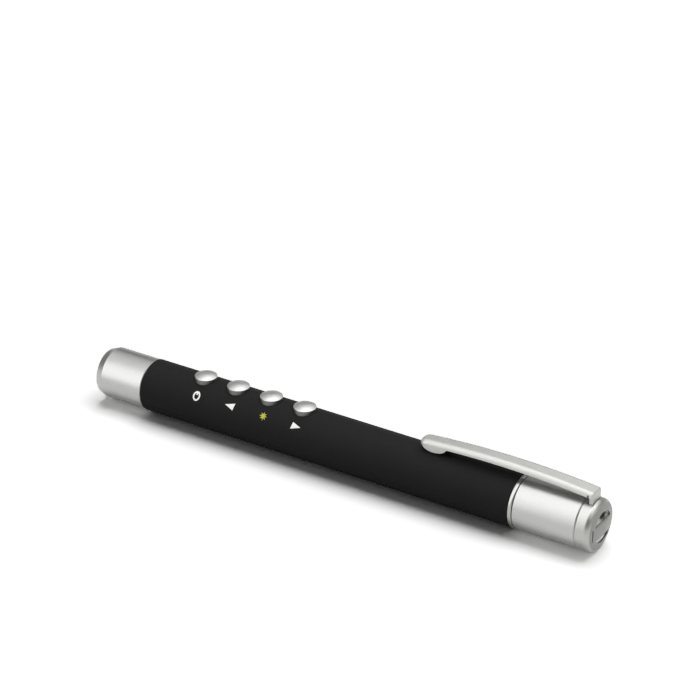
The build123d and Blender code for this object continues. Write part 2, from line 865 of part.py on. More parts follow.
def clip_plan(inset, end_inset):
    """An upright block of the clip's shape seen from above, drawn in all round by an inset."""
    half_tip = clip_tip_width / 2 - inset
    half_rear = clip_width / 2 - inset
    front_x = clip_tip_x + end_inset
    rear_x = clip_rear_x - end_inset
    corners = [(front_x, -half_tip), (rear_x, -half_rear), (rear_x, half_rear), (front_x, half_tip)]
    plan = make_face(Polyline(*corners, close=True))
    tip_corners = plan.vertices().sort_by(Axis.X)[:2]
    plan = fillet(tip_corners, clip_tip_corner - inset)
    return extrude(plan, amount=4 * barrel_radius)


def lobe_half(height, side):
    """Half of the lobe's oval, before (-1) or behind (1) its lowest point, as wide as the clip."""
    middle_x = clip_tip_x + clip_lobe_length / 2
    middle_z = barrel_radius + clip_lobe_lift + height
    oval_plane = Plane(origin=(middle_x, 0, middle_z), x_dir=(1, 0, 0), z_dir=(0, -1, 0))
    oval = extrude(oval_plane * Ellipse(clip_lobe_length / 2, height), amount=clip_width, both=True)
    start_x = middle_x + min(side, 0) * clip_lobe_length
    return oval & block(start_x, start_x + clip_lobe_length, 3 * clip_width, 0, 4 * barrel_radius)


def make_pocket_clip():
    """The sprung clip: an arched channel, a rounded lobe at its tip, a foot into the end cap."""
    lobe = lobe_half(clip_lobe_tip_height, -1) + lobe_half(clip_lobe_heel_height, 1)
    under_top = clip_side(2 * barrel_radius)
    shell = (clip_side(clip_depth) + (lobe & under_top)) & clip_plan(0, 0)
    rim = shell.faces().sort_by(Axis.Z)[-1].edges().sort_by(Axis.X)
    shell = fillet(rim[:-1], clip_edge)
    shell = fillet(shell.faces().sort_by(Axis.X)[-1].edges().sort_by(Axis.Z)[-3:], clip_rear_edge)
    plate = clip_side(clip_thickness)
    hollow = (clip_plan(clip_side_wall, clip_end_wall) - plate) & under_top
    clip = shell - hollow
    # The sides stop just short of the foot, which is a tab folded down from the top plate.
    slit = block(foot_front_x - clip_foot_slit, foot_front_x, 2 * clip_width, 0, 2 * barrel_radius)
    clip -= (slit - plate) & under_top
    foot_top = barrel_radius + clip_rear_height - clip_thickness
    foot = block(foot_front_x, clip_rear_x, clip_foot_width, foot_bottom, foot_top)
    clip += foot & under_top
    reach = clip_foot_width
    return clip - cross_rod(clip_pin_radius + pin_gap, foot_middle_x, pin_height, -reach, reach)


# ---------------------------------------------------------------- every piece by its name

pieces = {
    "barrel": make_barrel(),
    "nose_cap": make_nose_cap(),
    "window_ring": make_window_ring(),
    "laser_window": make_laser_window(),
    "laser_holder": make_laser_holder(),
    "laser_barrel": make_laser_barrel(),
    "lens_ring": make_lens_ring(),
    "collimating_lens": make_collimating_lens(),
    "lens_spring": make_lens_spring(),
    "laser_diode": make_laser_diode(),
    "laser_driver_board": make_laser_driver_board(),
    "laser_lead_positive": make_laser_lead(-1),
    "laser_lead_negative": make_laser_lead(1),
    "chassis_tray": make_chassis_tray(),
    "main_board": make_main_board(),
    "board_screws": make_board_screws(),
    "radio_chip": make_radio_chip(),
    "controller_chip": make_controller_chip(),
    "boost_inductor": make_boost_inductor(),
    "crystal_can": make_crystal_can(),
    "chip_antenna": make_chip_antenna(),
    "board_capacitors": make_board_capacitors(),
    "switch_domes": make_switch_domes(),
    "battery_cell": make_battery_cell(),
    "battery_positive_cap": make_battery_positive_cap(),
    "front_contact": make_front_contact(),
    "contact_carrier": make_contact_carrier(),
    "battery_tube": make_battery_tube(),
    "ground_strip": make_ground_strip(),
    "threaded_collar": make_threaded_collar(),
    "collar_o_ring": make_collar_o_ring(),
    "tail_sleeve": make_tail_sleeve(),
    "tail_cap": make_tail_cap(),
    "clip_pin": make_clip_pin(),
    "contact_plate": make_contact_plate(),
    "tail_spring": make_tail_spring(),
    "spring_seat": make_spring_seat(),
    "pocket_clip": make_pocket_clip(),
}

for name, x in zip(button_names, button_xs):
    pieces[name + "_button"] = make_button(x)
    pieces[name + "_plunger"] = make_plunger(x)
    pieces[name + "_switch_housing"] = make_switch_housing(x)

os.makedirs("parts", exist_ok=True)

for name, piece in pieces.items():
    solids = piece if isinstance(piece, list) else [piece]
    raised = [Pos(0, 0, barrel_radius) * solid for solid in solids]
    node = raised[0] if len(raised) == 1 else Compound(children=raised)
    node.label = name
    export_step(node, f"parts/{name}.step")
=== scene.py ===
# %% [markdown]
# # A pen-style presentation clicker, dressed for the studio
# The solids of this pen come from CAD, already at their real size. This lesson gives them their
# finishes, adds the small things that a drawing leaves out (prints, a thread, chip legs), and sets
# up a plain studio. Everything is in metres, and nothing of the CAD is moved.

# %% Load the CAD frame
import json
import math

import bmesh
import bpy
from mathutils import Matrix, Vector


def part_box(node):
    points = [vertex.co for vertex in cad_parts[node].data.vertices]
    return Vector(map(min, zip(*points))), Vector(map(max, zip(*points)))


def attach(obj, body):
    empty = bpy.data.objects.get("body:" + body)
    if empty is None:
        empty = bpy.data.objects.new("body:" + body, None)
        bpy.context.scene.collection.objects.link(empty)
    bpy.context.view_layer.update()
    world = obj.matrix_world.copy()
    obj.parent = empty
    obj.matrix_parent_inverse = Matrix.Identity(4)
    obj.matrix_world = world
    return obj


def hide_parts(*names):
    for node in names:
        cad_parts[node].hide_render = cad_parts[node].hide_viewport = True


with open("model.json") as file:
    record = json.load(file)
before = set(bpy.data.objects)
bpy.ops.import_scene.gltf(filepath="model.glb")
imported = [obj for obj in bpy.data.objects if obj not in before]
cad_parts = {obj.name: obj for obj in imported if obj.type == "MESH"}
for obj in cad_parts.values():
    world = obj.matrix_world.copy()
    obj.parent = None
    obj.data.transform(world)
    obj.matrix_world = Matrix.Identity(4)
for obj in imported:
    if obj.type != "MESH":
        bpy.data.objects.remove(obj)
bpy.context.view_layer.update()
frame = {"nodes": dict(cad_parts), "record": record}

mm = 0.001
print("pieces from CAD:", len(frame["nodes"]))

# %% [markdown]
# The places that the rest of the lesson needs are read from the CAD pieces, so the scene follows
# the model when the model changes. The tube gives the pen's axis and its two seams.

# %% Read the main places
tube_low, tube_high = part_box("barrel")
tube_radius = (tube_high.z - tube_low.z) / 2
axis_height = tube_low.z + tube_radius
nose_seam_x = tube_low.x
tail_seam_x = tube_high.x
button_names = ["blank_screen", "back", "laser", "forward"]


def middle(node):
    """The middle of a CAD piece's box."""
    low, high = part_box(node)
    return (low + high) / 2


button_xs = [middle(name + "_button").x for name in button_names]
print("tube radius", round(tube_radius / mm, 2), "mm")
print("buttons at", [round(x / mm, 1) for x in button_xs], "mm along the pen")

# %% [markdown]
# ## The camera
# The pen is seen from the tail's side and from above, through a long lens, which keeps its two
# ends nearly the same size. A camera's own axes are easy to write down from two angles: how far it
# is turned round the pen, and how far it is raised. The lens then follows from how many pixels a
# tube radius takes at the nose seam, and the camera's place from where that seam is in the frame.

# %% Camera
image_size = 700
camera_turn = math.radians(31.83)
camera_raise = math.radians(28.69)
camera_distance = 100 * tube_radius
pixels_per_radius = 26.366
seam_pixel_x = 154.975
seam_pixel_y = 384.405

back = Vector((
    math.sin(camera_turn) * math.cos(camera_raise),
    -math.cos(camera_turn) * math.cos(camera_raise),
    math.sin(camera_raise),
))
right = Vector((math.cos(camera_turn), math.sin(camera_turn), 0))
up = back.cross(right)
pixel = tube_radius / pixels_per_radius
seam_across = (seam_pixel_x - image_size / 2) * pixel
seam_upward = (image_size / 2 - seam_pixel_y) * pixel
seam_point = Vector((nose_seam_x, 0, axis_height))
camera_place = seam_point - seam_across * right - seam_upward * up + camera_distance * back

camera_data = bpy.data.cameras.new("camera")
camera_data.sensor_width = 36
camera_data.lens = camera_data.sensor_width * camera_distance / (image_size * pixel)
camera_data.clip_start = 0.01
camera = bpy.data.objects.new("camera", camera_data)
bpy.context.scene.collection.objects.link(camera)
camera_axes = Matrix((right, up, back)).transposed().to_4x4()
camera.matrix_world = Matrix.Translation(camera_place) @ camera_axes
bpy.context.scene.camera = camera
bpy.context.scene.view_settings.view_transform = "Standard"
print("lens", round(camera_data.lens, 1), "mm, camera at", [round(v, 3) for v in camera_place])

# %% [markdown]
# ## Helpers for finishes
# Three small functions carry all the materials: one turns a colour as it is written on a colour
# card into the linear numbers that the renderer wants, one adds a node with its settings and its
# links, and one starts a material with the two nodes that every finish has.

# %% Finish helpers
def colour(code):
    """A colour written as #rrggbb in sRGB, as linear red, green, blue and a full alpha."""
    parts = [int(code[i:i + 2], 16) / 255 for i in (1, 3, 5)]
    linear = [p / 12.92 if p <= 0.04045 else ((p + 0.055) / 1.055) ** 2.4 for p in parts]
    return (*linear, 1)


def add(tree, kind, inputs=None, **settings):
    """Adds a node. Each input, by name or number, is a value or the socket that feeds it."""
    made = tree.nodes.new(kind)
    for name, value in settings.items():
        setattr(made, name, value)
    for socket, value in (inputs or {}).items():
        if isinstance(value, bpy.types.NodeSocket):
            tree.links.new(value, made.inputs[socket])
        else:
            made.inputs[socket].default_value = value
    return made


def start_finish(name, constants):
    """A new material, its tree, its shader with constants set, and the piece's coordinates."""
    material = bpy.data.materials.new(name)
    material.use_nodes = True
    tree = material.node_tree
    tree.nodes.clear()
    shader = add(tree, "ShaderNodeBsdfPrincipled", constants)
    add(tree, "ShaderNodeOutputMaterial", {"Surface": shader.outputs["BSDF"]})
    place = add(tree, "ShaderNodeTexCoord").outputs["Object"]
    return material, tree, shader, place


# %% [markdown]
# Most finishes share one recipe: grains of a real size tilt the surface a little, and the same
# grains make its colour and its roughness uneven. A perfectly even surface is what gives a render
# away. The recipe takes sizes in metres, so each finish keeps its scale, and a stretch draws the
# grains out along X, Y or Z, as brushing or turning does. It hands back the grain, the colour and
# the tilt, so that a finish can build on them.

# %% Grain recipe
def give_grain(tree, shader, place, size, colours, roughness, depth, stretch=(1, 1, 1)):
    """One grain for the colour (two hex codes), the roughness (low, high) and a tilt (depth)."""
    scaled = add(tree, "ShaderNodeMapping", {"Vector": place, "Scale": [1 / s for s in stretch]})
    noise = add(
        tree,
        "ShaderNodeTexNoise",
        {"Vector": scaled.outputs["Vector"], "Scale": 1 / size, "Detail": 2.0, "Roughness": 0.55},
    ).outputs["Fac"]
    # Noise seldom leaves the middle of its range, so the middle is what gets spread.
    spread = {"Value": noise, "From Min": 0.3, "From Max": 0.7}
    share = add(tree, "ShaderNodeMapRange", spread).outputs["Result"]
    rough_range = {"To Min": roughness[0], "To Max": roughness[1]}
    rough = add(tree, "ShaderNodeMapRange", {**spread, **rough_range}).outputs["Result"]
    tint = add(
        tree,
        "ShaderNodeMix",
        {0: share, 6: colour(colours[0]), 7: colour(colours[1])},
        data_type="RGBA",
    ).outputs[2]
    bump = add(tree, "ShaderNodeBump", {"Height": noise, "Distance": depth, "Strength": 1.0})
    tilt = bump.outputs["Normal"]
    tree.links.new(rough, shader.inputs["Roughness"])
    tree.links.new(tint, shader.inputs["Base Color"])
    tree.links.new(tilt, shader.inputs["Normal"])
    return noise, tint, tilt


finishes = {}


def keep_finish(slot, material):
    """Files a finish under the record's material slot, and says so."""
    finishes[slot] = material
    print("finish", material.name, "for slot", slot)


# %% [markdown]
# ## The tube's soft-touch black
# The tube is moulded ABS with a soft-touch paint: a rubbery coat full of matting agent. To the eye
# it is a deep black with one broad, dull highlight and hardly any texture, a little shinier where
# fingers have been. So it is a dark, fairly rough non-metal whose shine is turned well down,
# because the matting agent swallows most of it. The real grains, 0.12 mm, are too fine to show and
# are drawn at 0.25 mm. Broad patches of handling are 9 mm wide.

# %% Soft-touch black
material, tree, shader, place = start_finish(
    "soft_touch_black_paint", {"IOR": 1.5, "Specular IOR Level": 0.06, "Metallic": 0.0}
)
give_grain(tree, shader, place, 0.25 * mm, ("#1d1d1d", "#232323"), (0.62, 0.70), 0.004 * mm)
patch_size = 9 * mm
patch_change = 0.03
patches = add(tree, "ShaderNodeTexNoise", {"Vector": place, "Scale": 1 / patch_size, "Detail": 1.0})
handled = add(
    tree,
    "ShaderNodeMapRange",
    {
        "Value": patches.outputs["Fac"],
        "From Min": 0.35,
        "From Max": 0.65,
        "To Min": -patch_change,
        "To Max": patch_change,
    },
).outputs["Result"]
grain_roughness = shader.inputs["Roughness"].links[0].from_socket
summed = add(tree, "ShaderNodeMath", {0: grain_roughness, 1: handled}, operation="ADD")
tree.links.new(summed.outputs["Value"], shader.inputs["Roughness"])
keep_finish("tube_black", material)

# %% [markdown]
# ## Blasted and anodised aluminium
# Nose, tail sleeve and end cap are turned from aluminium, blasted with fine beads and anodised
# clear. Blasting leaves tiny dimples, which spread every reflection into a soft silver glow with a
# faint sparkle, and takes away all direction. The beads are about 0.1 mm; drawn at 0.22 mm, they
# just show as a fine frost.

# %% Blasted aluminium
blasted = {"nose_silver": "blasted_aluminium_nose", "tail_silver": "blasted_aluminium_tail"}
for slot, name in blasted.items():
    material, tree, shader, place = start_finish(name, {"Metallic": 1.0})
    give_grain(tree, shader, place, 0.22 * mm, ("#adadac", "#bbbbb9"), (0.34, 0.44), 0.006 * mm)
    keep_finish(slot, material)

# %% [markdown]
# The end cap is blasted on its side only. Its domed face is left as the lathe tool cut it: fine
# rings round the pen's axis, which spread the light sideways. The face is also painted a darker grey
# than the frosted side, a painted shade for the dim surroundings that it mirrors. The face begins at
# a known place along the pen, and the rings are a noise that depends only on the distance from the
# axis. Deeper than the face and near the axis, the two pockets are painted a pale colour: a painted
# highlight in place of the light that their hollows lack.

# %% Cap with a turned face, painted shade and a painted highlight
face_depth = 0.92 * mm
pocket_reach = 6.0 * mm
ring_spacing = 0.12 * mm
ring_depth = 0.004 * mm
face_start_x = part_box("tail_cap")[1].x - face_depth
material, tree, shader, place = start_finish("blasted_aluminium_cap", {"Metallic": 1.0})
_, frosted, tilt = give_grain(
    tree, shader, place, 0.22 * mm, ("#aaaaa7", "#b8b8b5"), (0.34, 0.44), 0.006 * mm
)
parts = add(tree, "ShaderNodeSeparateXYZ", {"Vector": place}).outputs
on_face = add(
    tree, "ShaderNodeMath", {0: parts["X"], 1: face_start_x}, operation="GREATER_THAN"
).outputs[0]
above_axis = add(
    tree, "ShaderNodeMath", {0: parts["Z"], 1: axis_height}, operation="SUBTRACT"
).outputs[0]
off_axis = add(tree, "ShaderNodeCombineXYZ", {"Y": parts["Y"], "Z": above_axis}).outputs["Vector"]
radius = add(tree, "ShaderNodeVectorMath", {0: off_axis}, operation="LENGTH").outputs["Value"]
rings = add(
    tree,
    "ShaderNodeTexNoise",
    {"W": radius, "Scale": 1 / ring_spacing, "Detail": 1.0},
    noise_dimensions="1D",
).outputs["Fac"]
# Painted shade: the face's two ring colours are darker than the frosted side, for a dim reflection.
rings_in_painted_shade = add(
    tree, "ShaderNodeMix", {0: rings, 6: colour("#7f7f7c"), 7: colour("#989895")}, data_type="RGBA"
).outputs[2]
# Painted highlight: the pockets take a pale colour where their hollows would be in shade.
painted_highlight_mask = add(
    tree, "ShaderNodeMath", {0: radius, 1: pocket_reach}, operation="LESS_THAN"
).outputs[0]
frosted_or_painted_highlight = add(
    tree, "ShaderNodeMix", {0: painted_highlight_mask, 6: frosted, 7: colour("#e2e2df")}, data_type="RGBA"
).outputs[2]
frost_and_painted_light = add(
    tree, "ShaderNodeMix", {0: on_face, 6: frosted_or_painted_highlight, 7: rings_in_painted_shade}, data_type="RGBA"
).outputs[2]
ring_tilt = add(
    tree,
    "ShaderNodeBump",
    {"Height": rings, "Distance": ring_depth, "Strength": on_face, "Normal": tilt},
)
tree.links.new(frost_and_painted_light, shader.inputs["Base Color"])
tree.links.new(ring_tilt.outputs["Normal"], shader.inputs["Normal"])
keep_finish("cap_silver", material)

# %% [markdown]
# ## Polished collar
# The ring between tube and tail is turned and polished on the lathe, then clear coated. It mirrors
# its surroundings in a bright line. The lathe leaves faint rings round the axis: grains that are
# short along the pen and long across it.

# %% Polished collar
material, tree, shader, place = start_finish("polished_collar", {"Metallic": 1.0})
turned = (1, 40, 40)
give_grain(
    tree, shader, place, 0.06 * mm, ("#a3a3a0", "#b1b1ae"), (0.26, 0.36), 0.001 * mm, turned
)
keep_finish("collar_bright", material)

# %% [markdown]
# ## Satin clip and buttons
# The clip is pressed from spring steel, brushed lengthwise and satin plated; the brush marks run
# along the pen, so its grains are drawn out along X. The buttons are satin plated ABS, which has no
# direction at all and much shallower grains than blasted metal.

# %% Satin clip
material, tree, shader, place = start_finish("satin_plated_clip", {"Metallic": 1.0})
brushed = (30, 1, 1)
give_grain(
    tree, shader, place, 0.09 * mm, ("#bcbcb9", "#cacac7"), (0.50, 0.58), 0.002 * mm, brushed
)
keep_finish("clip_silver", material)

# %% [markdown]
# A button's skirt is a sliding fit in the tube. It is painted a much darker grey than the dome: a
# painted shade for the dim surroundings that the skirt mirrors. Where the skirt begins is a real
# height, so the finish reads Z and changes over the first fifth of a millimetre under the rim.

# %% Satin buttons with a painted shade on the skirt
dome_rise = 0.6 * mm
painted_shade_from = 0.02 * mm
painted_shade_fully = 0.2 * mm
rim_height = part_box("laser_button")[1].z - dome_rise
material, tree, shader, place = start_finish("satin_plated_button", {"Metallic": 1.0})
noise, plated, _ = give_grain(
    tree, shader, place, 0.18 * mm, ("#c1c1bf", "#cccccb"), (0.40, 0.45), 0.0005 * mm
)
height = add(tree, "ShaderNodeSeparateXYZ", {"Vector": place}).outputs["Z"]
painted_shade_share = add(
    tree,
    "ShaderNodeMapRange",
    {"Value": height, "From Min": rim_height - painted_shade_from, "From Max": rim_height - painted_shade_fully},
).outputs["Result"]
# Painted shade: the skirt's two dark greys stand in for the dim surroundings that it mirrors.
painted_shade_colour = add(
    tree, "ShaderNodeMix", {0: noise, 6: colour("#6c6c6a"), 7: colour("#858583")}, data_type="RGBA"
).outputs[2]
dome_or_painted_shade = add(
    tree, "ShaderNodeMix", {0: painted_shade_share, 6: plated, 7: painted_shade_colour}, data_type="RGBA"
).outputs[2]
tree.links.new(dome_or_painted_shade, shader.inputs["Base Color"])
keep_finish("button_silver", material)

# %% [markdown]
# ## Plain inner finishes
# The pieces inside are ordinary: moulded plastics, plated and drawn steel, turned brass, rubber.
# They differ in colour, in roughness and in which way their grain runs, so one table of those facts
# and one loop make them all. Each row: what it is, its IOR unless it is a metal, the grain's size
# in millimetres, two colours, two roughnesses, the grain's depth in millimetres and its stretch.

# %% Plain inner finishes
METAL = None
ALONG = (25, 1, 1)
ROUND = (1, 30, 30)
EVEN = (1, 1, 1)
plain_finishes = {
    "window_black": ("black_anodised_ring", METAL, 0.10, "#1d1d1f", "#29292b", 0.30, 0.42, 0.002, ROUND),
    "holder_plastic": ("moulded_black_nylon", 1.53, 0.20, "#1b1b1c", "#242425", 0.55, 0.70, 0.006, EVEN),
    "laser_brass": ("turned_brass", METAL, 0.07, "#b98f3e", "#cda551", 0.22, 0.36, 0.002, ROUND),
    "spring_wire": ("drawn_spring_wire", METAL, 0.05, "#9c9c9a", "#b4b4b1", 0.24, 0.38, 0.002, EVEN),
    "diode_gold": ("gold_flashed_header", METAL, 0.08, "#c79b45", "#dcb25c", 0.22, 0.32, 0.001, EVEN),
    "lead_red": ("red_pvc_insulation", 1.53, 0.15, "#8e1712", "#a82018", 0.34, 0.46, 0.003, ALONG),
    "lead_black": ("black_pvc_insulation", 1.53, 0.15, "#161617", "#202021", 0.34, 0.46, 0.003, ALONG),
    "tray_grey": ("moulded_grey_abs", 1.53, 0.25, "#343538", "#404144", 0.50, 0.64, 0.006, EVEN),
    "screw_steel": ("zinc_plated_steel", METAL, 0.06, "#9ba0a6", "#b9bdc2", 0.26, 0.40, 0.002, EVEN),
    "chip_black": ("moulded_epoxy", 1.55, 0.12, "#19191a", "#232324", 0.58, 0.74, 0.005, EVEN),
    "ferrite_grey": ("sintered_ferrite", 1.9, 0.15, "#37373a", "#47474a", 0.46, 0.62, 0.008, EVEN),
    "crystal_steel": ("plated_crystal_lid", METAL, 0.05, "#a9a9a5", "#c2c2be", 0.20, 0.32, 0.001, ALONG),
    "ceramic_white": ("fired_white_ceramic", 1.6, 0.10, "#cbcbc4", "#dadad3", 0.40, 0.55, 0.002, EVEN),
    "ceramic_tan": ("fired_tan_ceramic", 1.6, 0.10, "#997653", "#ad8961", 0.40, 0.55, 0.002, EVEN),
    "switch_black": ("moulded_black_lcp", 1.55, 0.15, "#18181a", "#222224", 0.48, 0.62, 0.004, EVEN),
    "plunger_white": ("moulded_white_nylon", 1.53, 0.20, "#cfcfca", "#dcdcd7", 0.42, 0.56, 0.003, EVEN),
    "dome_steel": ("stamped_dome_steel", METAL, 0.05, "#a3a3a1", "#bcbcba", 0.20, 0.32, 0.001, EVEN),
    "contact_nickel": ("nickel_plated_contact", METAL, 0.07, "#aaa59a", "#bfbab0", 0.24, 0.36, 0.001, ALONG),
    "strip_brass": ("stamped_brass_strip", METAL, 0.08, "#b3893f", "#c89e54", 0.26, 0.40, 0.002, ALONG),
    "liner_plastic": ("moulded_black_liner", 1.53, 0.25, "#222224", "#2d2d2f", 0.46, 0.60, 0.005, EVEN),
    "cell_nickel": ("nickel_plated_cell_end", METAL, 0.08, "#b1aca3", "#c6c1b8", 0.26, 0.38, 0.001, ROUND),
    "o_ring_rubber": ("moulded_nitrile_rubber", 1.52, 0.20, "#151515", "#1f1f1f", 0.55, 0.72, 0.005, EVEN),
}
for slot, (name, ior, size, dark, light, smooth, rough, depth, stretch) in plain_finishes.items():
    constants = {"Metallic": 1.0} if ior is METAL else {"Metallic": 0.0, "IOR": ior}
    material, tree, shader, place = start_finish(name, constants)
    give_grain(tree, shader, place, size * mm, (dark, light), (smooth, rough), depth * mm, stretch)
    keep_finish(slot, material)

# %% [markdown]
# Two finishes let light through: the moulded acrylic of the window and the lens. They are glass to
# the shader, with acrylic's IOR of 1.49, and the mould leaves a trace of orange peel.

# %% Clear acrylic
for slot in ("window_clear", "lens_clear"):
    constants = {"IOR": 1.49, "Metallic": 0.0, "Transmission Weight": 1.0}
    material, tree, shader, place = start_finish("clear_acrylic_" + slot.split("_")[0], constants)
    give_grain(tree, shader, place, 0.6 * mm, ("#f2f6f7", "#fbfdfd"), (0.03, 0.08), 0.001 * mm)
    keep_finish(slot, material)

# %% [markdown]
# ## Circuit board
# The board is glass-fibre laminate under green solder mask. The mask is glossy, and over copper it
# looks lighter. The copper runs in straight lanes, so a brick pattern of real lane widths stands
# for them, and the mask's edge at each lane is a small step. The pattern's node takes its widths as
# shares of one unit of length.

# %% Solder mask green
lane_unit = 4 * mm
lane_length = 5.6 * mm
lane_width = 0.56 * mm
lane_gap = 0.24 * mm
copper_step = 0.02 * mm
material, tree, shader, place = start_finish("solder_mask_green", {"IOR": 1.55, "Metallic": 0.0})
_, mask, tilt = give_grain(
    tree, shader, place, 0.3 * mm, ("#0d4a26", "#115630"), (0.26, 0.36), 0.002 * mm
)
lanes = add(
    tree,
    "ShaderNodeTexBrick",
    {
        "Vector": place,
        "Color1": (1, 1, 1, 1),
        "Color2": (0.4, 0.4, 0.4, 1),
        "Mortar": (0, 0, 0, 1),
        "Scale": 1 / lane_unit,
        "Mortar Size": lane_gap / lane_unit,
        "Brick Width": lane_length / lane_unit,
        "Row Height": lane_width / lane_unit,
    },
).outputs["Color"]
over_copper = add(
    tree, "ShaderNodeMix", {0: lanes, 6: mask, 7: colour("#1d7341")}, data_type="RGBA"
).outputs[2]
tree.links.new(over_copper, shader.inputs["Base Color"])
step = add(tree, "ShaderNodeBump", {"Height": lanes, "Distance": copper_step, "Normal": tilt})
tree.links.new(step.outputs["Normal"], shader.inputs["Normal"])
keep_finish("board_green", material)

# %% [markdown]
# ## The cell's jacket
# An AAA cell wears a shrunk sleeve of printed foil: here a plain two-tone one, copper at the
# positive end and dark blue behind, with nothing written on it. Where the two colours meet is a
# real place along the cell, so the pattern reads the X coordinate and needs no image.

# %% Cell jacket
band_width = 11 * mm
band_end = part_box("battery_cell")[0].x + band_width
material, tree, shader, place = start_finish("printed_cell_jacket", {"IOR": 1.5, "Metallic": 0.55})
_, blue, _ = give_grain(
    tree, shader, place, 0.4 * mm, ("#16294f", "#1b315c"), (0.24, 0.34), 0.002 * mm
)
along = add(tree, "ShaderNodeSeparateXYZ", {"Vector": place}).outputs["X"]
in_band = add(tree, "ShaderNodeMath", {0: along, 1: band_end}, operation="LESS_THAN").outputs[0]
two_tone = add(
    tree, "ShaderNodeMix", {0: in_band, 6: blue, 7: colour("#a86a3b")}, data_type="RGBA"
).outputs[2]
tree.links.new(two_tone, shader.inputs["Base Color"])
keep_finish("cell_jacket", material)

# %% [markdown]
# ## Dress the CAD pieces
# The record says which slot each CAD piece takes its finish from, so one loop dresses them all.
# Only the material slots change: the meshes stay as CAD made them.

# %% Dress every CAD piece
subparts = frame["record"]["subparts"]
for entry in subparts:
    for material_slot in frame["nodes"][entry["node"]].material_slots:
        material_slot.material = finishes[entry["material_slot"]]
print("dressed", len(subparts), "pieces in", len(finishes), "finishes")

# %% [markdown]
# ## Pieces that a drawing leaves out
# Every added piece needs the same few steps: a mesh, an object at the origin, smooth faces with
# crisp edges, a finish, and a CAD body to ride on. A lathe is the first tool, because nearly all of
# this pen is round: it turns a closed profile about an axis.

# %% Helpers for pieces
crisp_angle = math.radians(35)
same_point = 0.0001 * mm


def new_piece(name, mesh, material, body):
    """Shows a mesh as a piece of the pen, in one finish, riding on a CAD body."""
    mesh.materials.clear()
    mesh.materials.append(material)
    mesh.shade_smooth()
    mesh.set_sharp_from_angle(angle=crisp_angle)
    piece = bpy.data.objects.new(name, mesh)
    bpy.context.scene.collection.objects.link(piece)
    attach(piece, body)
    print("piece", name, "with", len(mesh.polygons), "faces on", body)
    return piece


def to_mesh(name, shape):
    """Turns a bmesh into a mesh, with its normals outward."""
    bmesh.ops.recalc_face_normals(shape, faces=shape.faces)
    mesh = bpy.data.meshes.new(name)
    shape.to_mesh(mesh)
    shape.free()
    return mesh


def lathe(name, profile, steps, place_point):
    """Turns a closed profile of (radius, distance along the axis) points once round."""
    shape = bmesh.new()
    rings = []
    for i in range(steps):
        turn = 2 * math.pi * i / steps
        points = [place_point(radius, along, turn) for radius, along in profile]
        rings.append([shape.verts.new(point) for point in points])
    for ring, following in zip(rings, rings[1:] + rings[:1]):
        for j in range(len(profile)):
            shape.faces.new((ring[j - 1], ring[j], following[j], following[j - 1]))
    bmesh.ops.remove_doubles(shape, verts=shape.verts, dist=same_point)
    return to_mesh(name, shape)


def arc(middle_radius, middle_along, radius, start, end, steps):
    """Profile points on an arc: 0 degrees is straight outward, 90 is straight along the axis."""
    angles = [math.radians(start + (end - start) * i / steps) for i in range(steps + 1)]
    return [
        (middle_radius + radius * math.cos(angle), middle_along + radius * math.sin(angle))
        for angle in angles
    ]


# %% [markdown]
# ## The four buttons
# The buttons are moulded and plated. Their look is all in the rim: a low dome meets the skirt at an
# edge that the plating rounds to 0.15 mm, and that edge catches one thin bright line. The CAD solid
# has a plain chamfer there, so each button is turned again, in the same place and to the same size,
# with a finer dome and a round rim.

# %% Turned buttons
rim_rounding = 0.15 * mm
button_steps = 72


def button_profile(button_radius, top, bottom):
    """A domed button's outline: down the dome, round the rim, down the skirt and back in."""
    dome_edge = button_radius - rim_rounding
    dome_radius = (dome_edge**2 + dome_rise**2) / (2 * dome_rise)
    dome_end = 90 - math.degrees(math.asin(dome_edge / dome_radius))
    # The rim's arc starts a few degrees further down, so its first point isn't the dome's last.
    rim_start = dome_end - 6
    outline = arc(0, top - dome_radius, dome_radius, 90, dome_end, 16)
    outline += arc(dome_edge, top - dome_rise - rim_rounding, rim_rounding, rim_start, 0, 6)
    return outline + [(button_radius, bottom), (0, bottom)]


for button_name, button_x in zip(button_names, button_xs):
    low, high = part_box(button_name + "_button")
    piece_name = button_name + "_button_turned"
    mesh = lathe(
        piece_name,
        button_profile((high.x - low.x) / 2, high.z, low.z),
        button_steps,
        lambda radius, along, turn, x=button_x: (
            x + radius * math.cos(turn),
            radius * math.sin(turn),
            along,
        ),
    )
    piece = new_piece(piece_name, mesh, finishes["button_silver"], button_name + "_key")
    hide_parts(button_name + "_button")

# %% [markdown]
# ## The prints beside the buttons
# Four small signs are pad printed on the tube: a soft silicone pad lays down a film of ink a few
# hundredths of a millimetre thick, which follows the curve. White ink serves three of them. The
# laser button's sign has yellow-green rays round an amber middle. Ink dries a little glossier than
# the paint under it.

# %% Ink finishes
ink_colours = {
    "white_pad_print_ink": ("#e6e6e2", "#f2f2ee"),
    "yellow_green_pad_print_ink": ("#bcc42b", "#cad23a"),
    "amber_pad_print_ink": ("#b0a82a", "#beb536"),
}
inks = []
for name, colours in ink_colours.items():
    material, tree, shader, place = start_finish(name, {"IOR": 1.48, "Metallic": 0.0})
    give_grain(tree, shader, place, 0.15 * mm, colours, (0.42, 0.54), 0.002 * mm)
    inks.append(material)
white_ink, ray_ink, core_ink = inks
print("inks:", [ink.name for ink in inks])

# %% [markdown]
# A print is easiest to draw flat. X runs along the pen from the nose seam, and Y is the distance
# round the tube, from its top line down its near side. The flat film is then cut into narrow
# strips, given a thickness and rolled on to the tube.

# %% Helpers for prints
film_thickness = 0.03 * mm
strip_width = 0.15 * mm


def flat_mesh(name, polygons):
    """A flat mesh from polygons of (x, y) points in millimetres."""
    shape = bmesh.new()
    for polygon in polygons:
        shape.faces.new([shape.verts.new((x * mm, y * mm, 0)) for x, y in polygon])
    bmesh.ops.remove_doubles(shape, verts=shape.verts, dist=same_point)
    return to_mesh(name, shape)


